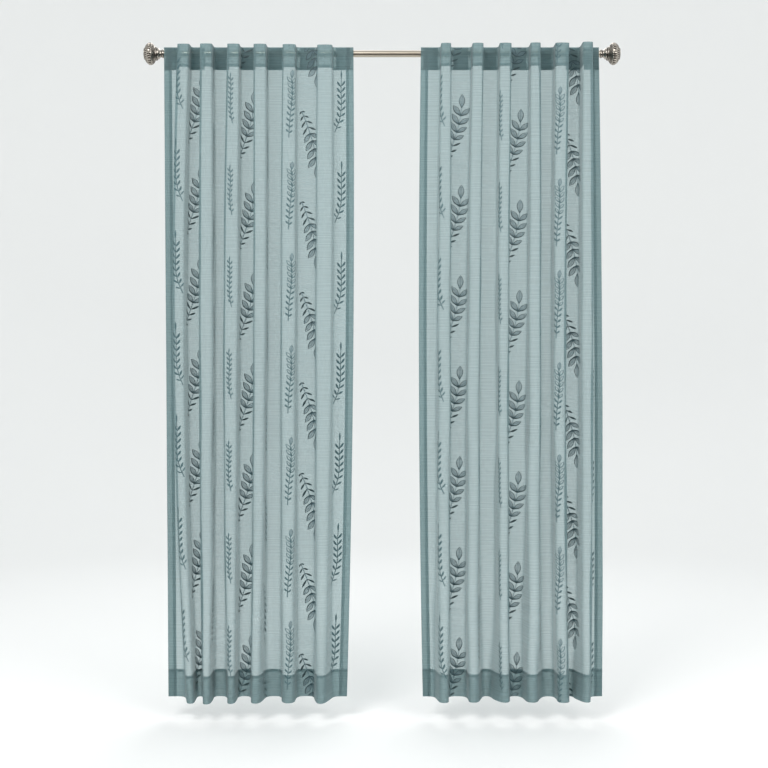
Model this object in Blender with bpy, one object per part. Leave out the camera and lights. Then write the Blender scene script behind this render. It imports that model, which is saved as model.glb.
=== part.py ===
"""Pair of sheer voile curtains hanging by back tabs from a round curtain rod with fluted ball ends.

Metres, +Z up. The origin is on the rod's axis, halfway along it. The rod runs along X, and the room,
into which the folds stand, is on the -Y side.

Each panel is one closed solid, a folded sheet. The back tabs hold seven flats of cloth against the
rod, and the cloth between two tabs stands forward as one fold. The rod passes between the panel and
the tabs.
"""

import math
from collections import namedtuple

import bmesh
import bpy
from mathutils import Vector

MM = 0.001

# Driving sizes
CLOTH_THICKNESS = 0.0015
DROP = 2.134  # top edge to bottom hem, a standard 84 inch length
HEADING_RISE = 0.018  # top edge of the cloth above the rod's axis
TAB_SPACING = 0.2035  # cloth between two tabs
ROD_RADIUS = 0.011
ROD_HALF_LENGTH = 0.7185
ROD_TO_CLOTH = 0.002  # clear space between the rod and the panel in front of it
SEWN_GAP = 0.0003

CLOTH_PLANE = -(ROD_RADIUS + ROD_TO_CLOTH + CLOTH_THICKNESS / 2)  # middle of the flats' cloth

# The fold tables are in millimetres along the rod. A panel is stated at three heights: at its
# heading, at a middle height, and at its hem.
Edge = namedtuple("Edge", "head mid hem")
Fold = namedtuple(
    "Fold", "head_from head_to mid_from mid_to hem_from hem_to hem_lean_left hem_lean_right"
)
# A fold's front hangs lower, by the droop, than the flats that the rod holds.
Panel = namedtuple(
    "Panel", "name mid_fraction left_edge right_edge left_margin right_margin droop folds"
)

LEFT_PANEL = Panel(
    name="left",
    mid_fraction=0.59,
    left_edge=Edge(head=-717, mid=-708, hem=-702),
    right_edge=Edge(head=-94, mid=-97, hem=-115),
    left_margin=20,
    right_margin=31,
    droop=6,
    folds=(
        Fold(-664, -625, -672, -636, -630, -606, 16, 0),
        Fold(-590, -551, -592, -549, -580, -554, 6, 4),
        Fold(-502, -463, -514, -469, -499, -476, 10, 6),
        Fold(-417, -376, -419, -380, -425, -396, 4, 18),
        Fold(-323, -281, -329, -281, -323, -286, 8, 10),
        Fold(-211, -162, -216, -166, -213, -186, 10, 28),
    ),
)
RIGHT_PANEL = Panel(
    name="right",
    mid_fraction=0.40,
    left_edge=Edge(head=128, mid=121, hem=134),
    right_edge=Edge(head=713, mid=723, hem=724),
    left_margin=33,
    right_margin=18,
    droop=1,
    folds=(
        Fold(192, 225, 182, 223, 186, 216, 16, 4),
        Fold(294, 330, 280, 320, 280, 311, 4, 22),
        Fold(382, 421, 377, 413, 384, 412, 32, 6),
        Fold(482, 515, 477, 517, 472, 503, 20, 26),
        Fold(563, 608, 557, 598, 567, 606, 2, 2),
        Fold(650, 683, 647, 686, 650, 676, 26, 4),
    ),
)

# How the folds change down the drop. The fold's corners are crisp under the tabs and soften below.
Level = namedtuple("Level", "fraction corner_radius crown trough")
LEVELS = (
    Level(fraction=0.0, corner_radius=8, crown=3.0, trough=0.0),
    Level(fraction=0.035, corner_radius=8, crown=3.5, trough=0.0),
    Level(fraction=0.12, corner_radius=9, crown=4.0, trough=1.5),
    Level(fraction=0.30, corner_radius=11, crown=4.5, trough=3.0),
    Level(fraction=0.50, corner_radius=13, crown=5.0, trough=4.0),
    Level(fraction=0.68, corner_radius=14, crown=5.5, trough=4.0),
    Level(fraction=0.85, corner_radius=15, crown=6.0, trough=5.0),
    Level(fraction=1.0, corner_radius=16, crown=7.0, trough=5.0),
)
CORNER_STEPS = 2
HEM_LEAN_POWER = 5  # a fold's feet spread mostly near the hem
LEAST_FOLD_DEPTH = 0.02
CORNERS_OF_A_FOLD = 4
SAVED_AT_A_CORNER = 2 - math.pi / 2  # of its radius, from the cloth's way round a square corner
CORNER_ROOM = 0.48  # a corner's arc takes at most this share of the straight run beside it
LEAST_TURN = 0.01  # radians; a corner that turns less stays a point
LEAST_MITRE = 0.5  # limits how far a sharp corner of an offset line stands out

# Back tabs
TAB_WIDTH = 0.048
TAB_TO_ROD = 0.0006
TAB_CLEAR_OF_EDGE = 0.0005
TAB_TOP = 0.0165
TAB_SEAM_TOP = -0.046
TAB_SEAM_BOTTOM = -0.0555
TAB_BACK_LOW = -0.004
TAB_ARC_STEPS = 4
TAB_BEND_RADIUS = 0.003

# Finials: the turned profile, out from the rod's end
FINIAL_GAP = 0.0003
FINIAL_SIDES = 28
ProfilePoint = namedtuple("ProfilePoint", "along radius")
NECK_PROFILE = (
    ProfilePoint(0.0, 14.5),
    ProfilePoint(4.5, 14.5),
    ProfilePoint(6.5, 12.0),
    ProfilePoint(11.0, 12.0),
    ProfilePoint(15.0, 15.8),
    ProfilePoint(17.0, 18.5),
    ProfilePoint(22.0, 18.5),
    ProfilePoint(23.0, 22.5),
    ProfilePoint(27.5, 22.5),
)
BALL_CENTRE = 45.0
BALL_RADIUS = 36.5
BALL_HALF_WIDTH = 21.0
BALL_FROM_DEG = 141
BALL_TO_DEG = 40
BALL_STEPS = 8
CAP_PROFILE = (
    ProfilePoint(61.7, 19.5),
    ProfilePoint(64.0, 19.5),
    ProfilePoint(65.2, 18.0),
)
ROD_SIDES = 40
MERGE_DISTANCE = 0.00001
SHARP_DEG = 40

Finish = namedtuple("Finish", "name colour metallic roughness")
VOILE = Finish("voile", (0.36, 0.50, 0.52, 1.0), 0.0, 0.85)
ROD_METAL = Finish("satin_nickel", (0.62, 0.60, 0.56, 1.0), 1.0, 0.3)
FINIAL_METAL = Finish("antiqued_nickel", (0.52, 0.49, 0.45, 1.0), 1.0, 0.35)


def clear_scene():
    for thing in list(bpy.data.objects):
        bpy.data.objects.remove(thing, do_unlink=True)


def material(finish, node):
    """One Principled material for one node."""
    made = bpy.data.materials.new(f"{finish.name}_{node}")
    made.use_nodes = True
    shader = made.node_tree.nodes["Principled BSDF"]
    shader.inputs["Base Color"].default_value = finish.colour
    shader.inputs["Metallic"].default_value = finish.metallic
    shader.inputs["Roughness"].default_value = finish.roughness
    return made


def add_object(name, mesh, finish):
    """Put a mesh in the scene under its node's name."""
    mesh.shade_smooth()
    mesh.set_sharp_from_angle(angle=math.radians(SHARP_DEG))
    mesh.materials.append(material(finish, name))
    made = bpy.data.objects.new(name, mesh)
    bpy.context.scene.collection.objects.link(made)
    return made


def between(value, low, high):
    return max(low, min(high, value))


def through_three(fraction, middle, head, mid, hem):
    """The quadratic in the drop's fraction that meets the head, mid and hem values."""
    at_head = (fraction - middle) * (fraction - 1) / middle
    at_mid = fraction * (fraction - 1) / (middle * (middle - 1))
    at_hem = fraction * (fraction - middle) / (1 - middle)
    return head * at_head + mid * at_mid + hem * at_hem


def rounded(corners, steps):
    """Points along a line through 2D corners (point, radius), each inner one turned into an arc."""
    path = [corners[0][0]]
    for before, (point, radius), after in zip(corners, corners[1:], corners[2:]):
        come = point - before[0]
        leave = after[0] - point
        turn = come.angle_signed(leave)
        if radius == 0 or abs(turn) < LEAST_TURN:
            path.append(point)
            continue
        room = min(come.length, leave.length) * CORNER_ROOM
        reach = min(radius * math.tan(abs(turn) / 2), room)
        arc_radius = reach / math.tan(abs(turn) / 2)
        side = -math.copysign(1, turn)  # angle_signed is positive for a clockwise turn
        along = come.normalized()
        centre = point - along * reach + Vector((-along.y, along.x)) * side * arc_radius
        spoke = point - along * reach - centre
        for step in range(steps + 1):
            angle = side * abs(turn) * step / steps
            path.append(centre + Vector((
                spoke.x * math.cos(angle) - spoke.y * math.sin(angle),
                spoke.x * math.sin(angle) + spoke.y * math.cos(angle),
            )))
    path.append(corners[-1][0])
    return path


def fold_positions(panel, fraction):
    """Each fold's front corners and its feet, and the panel's edges, at a height; in metres."""
    def at(head, mid, hem):
        return through_three(fraction, panel.mid_fraction, head, mid, hem) * MM

    left = at(*panel.left_edge)
    right = at(*panel.right_edge)
    folds = []
    for fold in panel.folds:
        start = at(fold.head_from, fold.mid_from, fold.hem_from)
        end = at(fold.head_to, fold.mid_to, fold.hem_to)
        lean = fraction ** HEM_LEAN_POWER * MM
        left_foot = start - fold.hem_lean_left * lean
        folds.append((start, end, left_foot, end + fold.hem_lean_right * lean))
    return left, right, folds


def section(panel, level):
    """The panel's plan at one height: the middle of the cloth, as points (x, y)."""
    left, right, folds = fold_positions(panel, level.fraction)
    troughs = [left + panel.left_margin * MM]
    for this, following in zip(folds, folds[1:]):
        troughs.append((this[3] + following[2]) / 2)
    troughs.append(right - panel.right_margin * MM)

    radius = level.corner_radius * MM
    corners = [(Vector((left, CLOTH_PLANE)), 0)]
    for index, (start, end, left_foot, right_foot) in enumerate(folds):
        pitch = troughs[index + 1] - troughs[index]
        saved = CORNERS_OF_A_FOLD * SAVED_AT_A_CORNER * min(radius, (end - start) / 2)
        lean = (start - left_foot + right_foot - end) / 2
        wall = (TAB_SPACING - pitch + saved) / 2 + lean
        depth = max(LEAST_FOLD_DEPTH, math.sqrt(max(0.0, wall ** 2 - lean ** 2)))
        front = CLOTH_PLANE - depth
        if index:
            corners.append((Vector((troughs[index], CLOTH_PLANE + level.trough * MM)), 0))
        corners.append((Vector((left_foot, CLOTH_PLANE)), radius))
        corners.append((Vector((start, front)), radius))
        corners.append((Vector(((start + end) / 2, front - level.crown * MM)), 0))
        corners.append((Vector((end, front)), radius))
        corners.append((Vector((right_foot, CLOTH_PLANE)), radius))
    corners.append((Vector((right, CLOTH_PLANE)), 0))
    return rounded(corners, CORNER_STEPS)


def offset(path, distance):
    """The path moved sideways, to its left, with mitred corners."""
    moved = []
    for index, point in enumerate(path):
        come = (point - path[index - 1]).normalized() if index else None
        leave = (path[index + 1] - point).normalized() if index + 1 < len(path) else None
        come = come or leave
        leave = leave or come
        middle = (come + leave).normalized()
        normal = Vector((-middle.y, middle.x))
        moved.append(point + normal * distance / max(LEAST_MITRE, middle.dot(come)))
    return moved


def closed_sheet(name, back, front):
    """A closed mesh between two grids of points, each a list of rows, top row first."""
    rows = len(back)
    columns = len(back[0])
    points = [point for grid in (back, front) for row in grid for point in row]

    def at(side, row, column):
        return (side * rows + row) * columns + column

    faces = []
    for row in range(rows - 1):
        for column in range(columns - 1):
            # Both sides are split along the same diagonal, so that the thickness holds everywhere.
            for side, flip in ((0, True), (1, False)):
                a = at(side, row, column)
                b = at(side, row + 1, column)
                c = at(side, row + 1, column + 1)
                d = at(side, row, column + 1)
                for face in ((a, b, c), (a, c, d)):
                    faces.append(face[::-1] if flip else face)
    rim = [(0, column) for column in range(columns)]
    rim += [(row, columns - 1) for row in range(1, rows)]
    rim += [(rows - 1, column) for column in range(columns - 2, -1, -1)]
    rim += [(row, 0) for row in range(rows - 2, 0, -1)]
    for this, following in zip(rim, rim[1:] + rim[:1]):
        faces.append((at(1, *this), at(1, *following), at(0, *following), at(0, *this)))
    mesh = bpy.data.meshes.new(name)
    mesh.from_pydata(points, [], faces)
    mesh.update()
    return mesh


def build_panel(panel):
    """One panel: its plan at each level, given its thickness, and skinned from top to hem."""
    back = []
    front = []
    for level in LEVELS:
        path = section(panel, level)
        height = HEADING_RISE - DROP * level.fraction
        deepest = min(point.y for point in path) - CLOTH_PLANE
        for grid, side in ((back, 1), (front, -1)):
            row = []
            for middle, point in zip(path, offset(path, side * CLOTH_THICKNESS / 2)):
                forward = between((middle.y - CLOTH_PLANE) / deepest, 0, 1)
                row.append((point.x, point.y, height - panel.droop * MM * forward))
            grid.append(row)
    add_object(f"{panel.name}_panel", closed_sheet(f"{panel.name}_panel", back, front), VOILE)


def tab_path():
    """A tab seen along the rod, as points (y, z): down from the top edge, over and behind the rod."""
    half = CLOTH_THICKNESS / 2
    sewn = CLOTH_PLANE + half + SEWN_GAP + half
    wrap = ROD_RADIUS + TAB_TO_ROD + half
    corners = [
        (Vector((sewn, TAB_TOP)), 0),
        (Vector((sewn, wrap)), 0),
        (Vector((wrap, wrap)), wrap),
        (Vector((wrap, TAB_BACK_LOW)), TAB_BEND_RADIUS),
        (Vector((sewn, TAB_SEAM_TOP)), TAB_BEND_RADIUS),
        (Vector((sewn, TAB_SEAM_BOTTOM)), 0),
    ]
    return rounded(corners, TAB_ARC_STEPS)


def build_tabs(panel):
    """The seven tabs of one panel, one behind each flat of its heading."""
    left, right, folds = fold_positions(panel, 0.0)
    reach = TAB_WIDTH / 2
    starts = [left] + [fold[1] for fold in folds]
    ends = [fold[0] for fold in folds] + [right]
    path = tab_path()
    outer = offset(path, CLOTH_THICKNESS / 2)
    inner = offset(path, -CLOTH_THICKNESS / 2)
    for number, (start, end) in enumerate(zip(starts, ends), start=1):
        room = reach + TAB_CLEAR_OF_EDGE
        middle = between((start + end) / 2, left + room, right - room)
        name = f"{panel.name}_tab_{number}"
        grids = [
            [[(middle + side, point.x, point.y) for side in (-reach, reach)] for point in line]
            for line in (outer, inner)
        ]
        add_object(name, closed_sheet(name, *grids), VOILE)


def turned(name, profile, sides):
    """A solid turned round its own X axis from (along, radius) points."""
    shape = bmesh.new()
    axis_points = [Vector((profile[0][0], 0, 0)), Vector((profile[-1][0], 0, 0))]
    rim = [Vector((along, 0, radius)) for along, radius in profile]
    outline = [axis_points[0]] + rim + [axis_points[1]]
    corners = [shape.verts.new(point) for point in outline]
    edges = [shape.edges.new(pair) for pair in zip(corners, corners[1:])]
    bmesh.ops.spin(
        shape, geom=corners + edges, cent=(0, 0, 0), axis=(1, 0, 0), angle=2 * math.pi, steps=sides,
        use_merge=True,
    )
    bmesh.ops.remove_doubles(shape, verts=shape.verts, dist=MERGE_DISTANCE)
    bmesh.ops.recalc_face_normals(shape, faces=shape.faces)
    mesh = bpy.data.meshes.new(name)
    shape.to_mesh(mesh)
    shape.free()
    return mesh


def finial_profile():
    """Neck, oblate ball and end cap, as (along, radius) in metres from the rod's end outwards."""
    points = [(point.along * MM, point.radius * MM) for point in NECK_PROFILE]
    for step in range(BALL_STEPS + 1):
        angle = math.radians(BALL_FROM_DEG + (BALL_TO_DEG - BALL_FROM_DEG) * step / BALL_STEPS)
        along = BALL_CENTRE + BALL_HALF_WIDTH * math.cos(angle)
        points.append((along * MM, BALL_RADIUS * math.sin(angle) * MM))
    points += [(point.along * MM, point.radius * MM) for point in CAP_PROFILE]
    return points


def build_rod():
    profile = [(-ROD_HALF_LENGTH, ROD_RADIUS), (ROD_HALF_LENGTH, ROD_RADIUS)]
    add_object("rod", turned("rod", profile, ROD_SIDES), ROD_METAL)


def build_finials():
    """Two like finials, one turned round to face the other way."""
    mesh = turned("finial", finial_profile(), FINIAL_SIDES)
    for name, side in (("finial_left", -1), ("finial_right", 1)):
        finial = add_object(name, mesh.copy(), FINIAL_METAL)
        finial.location.x = side * (ROD_HALF_LENGTH + FINIAL_GAP)
        finial.rotation_euler.z = math.pi if side < 0 else 0


def main():
    clear_scene()
    build_rod()
    build_finials()
    for panel in (LEFT_PANEL, RIGHT_PANEL):
        build_panel(panel)
        build_tabs(panel)


main()
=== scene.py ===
"""Pair of sheer voile curtains with embroidered leaf sprigs, hung by back tabs from a metal rod.

Metres, +Z up, the room on the -Y side, the origin on the rod's axis and halfway along it. The
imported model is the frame. Sizes written in millimetres are named so.

A point of a panel's cloth is named by where its threads are: u runs across the cloth from its left
edge and v down from its top edge, both as if it lay flat. FoldedCloth turns (u, v) into a place on
the hanging folds, so that hems, stitches and embroidery all follow the cloth that they are sewn to.
"""

import logging
import math
from collections.abc import Sequence
from dataclasses import dataclass, field, replace
from enum import Enum
from typing import NamedTuple

import bpy
import numpy as np
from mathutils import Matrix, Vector


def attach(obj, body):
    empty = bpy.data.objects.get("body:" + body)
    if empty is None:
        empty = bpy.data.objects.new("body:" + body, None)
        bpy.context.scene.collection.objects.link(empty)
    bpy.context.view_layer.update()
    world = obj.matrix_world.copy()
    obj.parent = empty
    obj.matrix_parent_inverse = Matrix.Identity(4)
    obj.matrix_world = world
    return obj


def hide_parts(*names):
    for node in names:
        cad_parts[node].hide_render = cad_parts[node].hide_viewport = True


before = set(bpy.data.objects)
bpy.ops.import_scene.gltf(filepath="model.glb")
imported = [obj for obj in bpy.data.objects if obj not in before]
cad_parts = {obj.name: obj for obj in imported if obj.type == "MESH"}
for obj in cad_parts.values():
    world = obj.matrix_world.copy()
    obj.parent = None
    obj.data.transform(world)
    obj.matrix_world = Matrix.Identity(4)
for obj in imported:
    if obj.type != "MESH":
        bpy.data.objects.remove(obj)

LOG = logging.getLogger("curtains")
MM = 0.001
Points = np.ndarray
Material = bpy.types.Material
Object = bpy.types.Object


# ---------------------------------------------------------------- shared helpers


def linear(hex_colour: str) -> tuple[float, float, float, float]:
    """Turn an sRGB hex colour into linear RGBA.

    Args:
        hex_colour: Six hex digits after a "#".

    Returns:
        The colour as four linear values, with alpha 1.
    """
    channels = [int(hex_colour[place : place + 2], 16) / 255 for place in (1, 3, 5)]
    red, green, blue = (c / 12.92 if c <= 0.04045 else ((c + 0.055) / 1.055) ** 2.4 for c in channels)
    return red, green, blue, 1.0


def add_node(
    tree: bpy.types.NodeTree, kind: str, inputs: dict[str | int, object] | None = None, **settings: object
) -> bpy.types.Node:
    """Add one node, with its settings, its input values and the links into it.

    Args:
        tree: Node tree that takes the node.
        kind: Blender's type name of the node.
        inputs: Each input's name or number, with its value or the output that feeds it.
        settings: Properties of the node itself.

    Returns:
        The new node.
    """
    node = tree.nodes.new(kind)
    for name, value in settings.items():
        setattr(node, name, value)
    for key, value in (inputs or {}).items():
        socket = node.inputs[key]
        if isinstance(value, bpy.types.NodeSocket):
            tree.links.new(value, socket)
        else:
            socket.default_value = value
    return node


def blank_material(name: str) -> tuple[Material, bpy.types.NodeTree]:
    """Make a material with an empty node tree.

    Args:
        name: Name of the material.

    Returns:
        The material and its node tree.
    """
    made = bpy.data.materials.new(name)
    made.use_nodes = True
    made.node_tree.nodes.clear()
    return made, made.node_tree


def smooth_step(value: Points | float, start: float, end: float) -> Points:
    """Rise smoothly from 0 at start to 1 at end.

    Args:
        value: Where to read the step.
        start: Where the step leaves 0.
        end: Where the step reaches 1.

    Returns:
        The step's height at each value.
    """
    share = np.clip((np.asarray(value, float) - start) / (end - start), 0, 1)
    return share * share * (3 - 2 * share)


@dataclass
class MeshParts:
    """Vertices, faces, thread coordinates and material numbers gathered for one mesh."""

    points: list[Points] = field(default_factory=list)
    faces: list[Points] = field(default_factory=list)
    threads: list[Points] = field(default_factory=list)
    tones: list[Points] = field(default_factory=list)
    count: int = 0

    def add(self, points: Points, faces: Points, threads: Points | None = None, tone: int = 0) -> None:
        """Add vertices and the quads or triangles on them.

        Args:
            points: Vertices, one row of three each.
            faces: Corner numbers within these points, one row a face.
            threads: Thread coordinates (u, v) of each vertex, in metres.
            tone: Number of the material that these faces take.
        """
        self.points.append(points)
        self.faces.append(faces + self.count)
        self.threads.append(np.zeros((len(points), 2)) if threads is None else threads)
        self.tones.append(np.full(len(faces), tone, dtype=np.int32))
        self.count += len(points)

    def add_grid(
        self, grid: Points, threads: Points | None = None, tone: int = 0, ring: bool = False
    ) -> None:
        """Add a grid of points as a skin of quads.

        Args:
            grid: Points as rows by columns by three.
            threads: Thread coordinates as rows by columns by two.
            tone: Number of the material that these faces take.
            ring: Whether the last column joins the first one.
        """
        rows, columns = grid.shape[:2]
        number = np.arange(rows * columns).reshape(rows, columns)
        if ring:
            number = np.hstack([number, number[:, :1]])
        corners = (number[:-1, :-1], number[1:, :-1], number[1:, 1:], number[:-1, 1:])
        faces = np.stack([c.ravel() for c in corners], axis=1)
        flat_threads = None if threads is None else threads.reshape(-1, 2)
        self.add(grid.reshape(-1, 3), faces, flat_threads, tone)

    def to_object(self, name: str, materials: Sequence[Material], smooth: bool = True) -> Object:
        """Make the mesh and its object.

        Args:
            name: Name of the piece.
            materials: Materials in the order of the tone numbers.
            smooth: Whether the faces are shaded smooth.

        Returns:
            The new object, linked to the scene.
        """
        corners = [face for block in self.faces for face in block.tolist()]
        mesh = bpy.data.meshes.new(name)
        mesh.from_pydata(np.concatenate(self.points).tolist(), [], corners)
        mesh.polygons.foreach_set("material_index", np.concatenate(self.tones))
        threads = np.concatenate(self.threads)
        loop_points = np.empty(len(mesh.loops), dtype=np.int32)
        mesh.loops.foreach_get("vertex_index", loop_points)
        layer = mesh.uv_layers.new(name="threads")
        layer.data.foreach_set("uv", threads[loop_points].astype(np.float32).ravel())
        for material in materials:
            mesh.materials.append(material)
        if smooth:
            mesh.shade_smooth()
        mesh.update()
        made = bpy.data.objects.new(name, mesh)
        bpy.context.scene.collection.objects.link(made)
        return made


class Side(Enum):
    """A side of the pair, with the sign of X that points to it."""

    LEFT = -1
    RIGHT = 1

    @property
    def word(self) -> str:
        """Give its name as the pieces and the nodes have it."""
        return self.name.lower()


def place_on_frame(piece: Object, slot: str, *nodes: str) -> Object:
    """Ride a piece on the curtain's one body, and hide the CAD nodes that it stands for.

    Args:
        piece: The piece to place.
        slot: Name of the record's material slot; not used.
        nodes: CAD nodes that this piece replaces.

    Returns:
        The same piece.
    """
    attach(piece, "root")
    if nodes:
        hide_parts(*nodes)
    LOG.info("%s: %d faces", piece.name, len(piece.data.polygons))
    return piece


# ---------------------------------------------------------------- finishes


@dataclass(frozen=True)
class SlubVoile:
    """Polyester voile, plain woven with slub yarns across: a see-through cloth with short streaks.

    Each ply hides a fixed share of what is behind it. The way through the threads is longer where
    the cloth turns away, so the sides of the folds look darker than their fronts.
    """

    colour: str = "#748C8F"
    slub_colour: str = "#80979A"
    through: float = 0.39  # share of the light that passes straight between the threads
    through_change: float = 0.045
    thin_yarn: float = 0.32  # where the yarns' pattern is thinnest, and so the cloth most open
    fat_yarn: float = 0.78  # where it is fattest
    tint: str = "#F1FCFC"  # what passes is tinted by the light that grazes the threads
    glow: float = 0.38  # share of the scattered light that comes out on the far side
    roughness: float = 0.85
    specular: float = 0.3
    sheen: float = 0.25
    least_facing: float = 0.55  # side on, a ply hides no more than two plies do
    slub_length_mm: float = 160
    slub_thickness_mm: float = 3.6  # a real slub is 0.5 mm thick; drawn coarser, so that it shows
    warp_pitch_mm: float = 4.0  # real warp threads are 0.4 mm apart; drawn as bands of ten
    warp_length_mm: float = 400
    warp_share: float = 0.10
    slub_detail: float = 1.0
    warp_detail: float = 0.5
    yarn_unevenness: float = 0.6
    bump_mm: float = 0.10
    bump_strength: float = 0.6

    def material(self) -> Material:
        """Build the voile.

        Returns:
            A material for surfaces whose UV map holds thread coordinates in metres.
        """
        made, tree = blank_material("polyester_slub_voile")
        threads = add_node(tree, "ShaderNodeUVMap", uv_map="threads").outputs[0]
        across = (1 / (self.slub_length_mm * MM), 1 / (self.slub_thickness_mm * MM), 1)
        along = (1 / (self.warp_pitch_mm * MM), 1 / (self.warp_length_mm * MM), 1)
        noises = []
        for scale, detail in ((across, self.slub_detail), (along, self.warp_detail)):
            mapped = add_node(tree, "ShaderNodeMapping", {"Vector": threads, "Scale": scale}).outputs[0]
            noise = add_node(
                tree,
                "ShaderNodeTexNoise",
                {"Vector": mapped, "Scale": 1.0, "Detail": detail, "Roughness": self.yarn_unevenness},
                noise_dimensions="2D",
            )
            noises.append(noise.outputs["Fac"])
        slub, warp = noises
        both = add_node(
            tree, "ShaderNodeMath", {0: warp, 1: self.warp_share, 2: slub}, operation="MULTIPLY_ADD"
        ).outputs[0]
        # Slubs are fat and close together, so that little light passes between them.
        open_share = add_node(
            tree,
            "ShaderNodeMapRange",
            {
                "Value": both,
                "From Min": self.thin_yarn,
                "From Max": self.fat_yarn,
                "To Min": self.through + self.through_change,
                "To Max": self.through - self.through_change,
            },
        ).outputs[0]
        away = add_node(tree, "ShaderNodeLayerWeight", {"Blend": 0.5}).outputs["Facing"]
        facing = add_node(tree, "ShaderNodeMath", {0: 1.0, 1: away}, operation="SUBTRACT").outputs[0]
        kept = add_node(
            tree, "ShaderNodeMath", {0: facing, 1: self.least_facing}, operation="MAXIMUM"
        ).outputs[0]
        longer = add_node(tree, "ShaderNodeMath", {0: 1.0, 1: kept}, operation="DIVIDE").outputs[0]
        passed = add_node(tree, "ShaderNodeMath", {0: open_share, 1: longer}, operation="POWER").outputs[0]
        cover = add_node(
            tree, "ShaderNodeMath", {0: 1.0, 1: passed}, operation="SUBTRACT", use_clamp=True
        ).outputs[0]

        colour = add_node(
            tree,
            "ShaderNodeMix",
            {0: slub, 6: linear(self.colour), 7: linear(self.slub_colour)},
            data_type="RGBA",
        ).outputs[2]
        bump = add_node(
            tree,
            "ShaderNodeBump",
            {"Height": both, "Distance": self.bump_mm * MM, "Strength": self.bump_strength},
        ).outputs[0]
        front = add_node(
            tree,
            "ShaderNodeBsdfPrincipled",
            {
                "Base Color": colour,
                "Roughness": self.roughness,
                "Sheen Weight": self.sheen,
                "Specular IOR Level": self.specular,
                "Normal": bump,
            },
        ).outputs[0]
        back = add_node(tree, "ShaderNodeBsdfTranslucent", {"Color": colour, "Normal": bump}).outputs[0]
        cloth = add_node(tree, "ShaderNodeMixShader", {0: self.glow, 1: front, 2: back}).outputs[0]
        clear = add_node(tree, "ShaderNodeBsdfTransparent", {"Color": linear(self.tint)}).outputs[0]
        mixed = add_node(tree, "ShaderNodeMixShader", {0: cover, 1: clear, 2: cloth}).outputs[0]
        add_node(tree, "ShaderNodeOutputMaterial", {"Surface": mixed})
        return made


@dataclass(frozen=True)
class EmbroideryFloss:
    """Rayon embroidery floss in machine satin stitch: dense dark ridges with a soft silky light."""

    name: str
    colour: str
    shade: str
    roughness: float = 0.5
    sheen: float = 0.1
    stitch_pitch_mm: float = 1.2  # real stitches lie 0.4 mm apart; drawn three times as coarse
    bump_mm: float = 0.2
    bump_strength: float = 0.7

    def material(self) -> Material:
        """Build the floss.

        Returns:
            A material whose colour and bump change from stitch to stitch.
        """
        made, tree = blank_material(self.name)
        threads = add_node(tree, "ShaderNodeUVMap", uv_map="threads").outputs[0]
        scale = 1 / (self.stitch_pitch_mm * MM)
        noise = add_node(
            tree,
            "ShaderNodeTexNoise",
            {"Vector": threads, "Scale": scale, "Detail": 1.0},
            noise_dimensions="2D",
        ).outputs["Fac"]
        colour = add_node(
            tree,
            "ShaderNodeMix",
            {0: noise, 6: linear(self.shade), 7: linear(self.colour)},
            data_type="RGBA",
        ).outputs[2]
        bump = add_node(
            tree,
            "ShaderNodeBump",
            {"Height": noise, "Distance": self.bump_mm * MM, "Strength": self.bump_strength},
        ).outputs[0]
        floss = add_node(
            tree,
            "ShaderNodeBsdfPrincipled",
            {
                "Base Color": colour,
                "Roughness": self.roughness,
                "Sheen Weight": self.sheen,
                "Normal": bump,
            },
        ).outputs[0]
        add_node(tree, "ShaderNodeOutputMaterial", {"Surface": floss})
        return made


@dataclass(frozen=True)
class DrawnNickelTube:
    """Steel tube plated in satin nickel: drawn, so that fine lines run along it, and gently worn."""

    colour: str = "#CFC6B8"
    worn_colour: str = "#A99C8B"
    roughness: float = 0.30
    roughness_change: float = 0.08
    line_pitch_mm: float = 1.5  # real drawing lines are finer than 0.1 mm; drawn coarser, to show
    line_length_mm: float = 180
    line_detail: float = 2.0
    bump_mm: float = 0.02
    bump_strength: float = 0.5

    def material(self) -> Material:
        """Build the plated tube.

        Returns:
            A metal with lines along X.
        """
        made, tree = blank_material("satin_nickel_plated_steel")
        place = add_node(tree, "ShaderNodeTexCoord").outputs["Object"]
        fine = 1 / (self.line_pitch_mm * MM)
        scale = (1 / (self.line_length_mm * MM), fine, fine)
        mapped = add_node(tree, "ShaderNodeMapping", {"Vector": place, "Scale": scale}).outputs[0]
        lines = add_node(
            tree, "ShaderNodeTexNoise", {"Vector": mapped, "Scale": 1.0, "Detail": self.line_detail}
        ).outputs["Fac"]
        colour = add_node(
            tree,
            "ShaderNodeMix",
            {0: lines, 6: linear(self.worn_colour), 7: linear(self.colour)},
            data_type="RGBA",
        ).outputs[2]
        rough = add_node(
            tree,
            "ShaderNodeMapRange",
            {
                "Value": lines,
                "To Min": self.roughness + self.roughness_change,
                "To Max": self.roughness - self.roughness_change / 2,
            },
        ).outputs[0]
        bump = add_node(
            tree,
            "ShaderNodeBump",
            {"Height": lines, "Distance": self.bump_mm * MM, "Strength": self.bump_strength},
        ).outputs[0]
        metal = add_node(
            tree,
            "ShaderNodeBsdfPrincipled",
            {"Base Color": colour, "Metallic": 1.0, "Roughness": rough, "Normal": bump},
        ).outputs[0]
        add_node(tree, "ShaderNodeOutputMaterial", {"Surface": metal})
        return made


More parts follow.
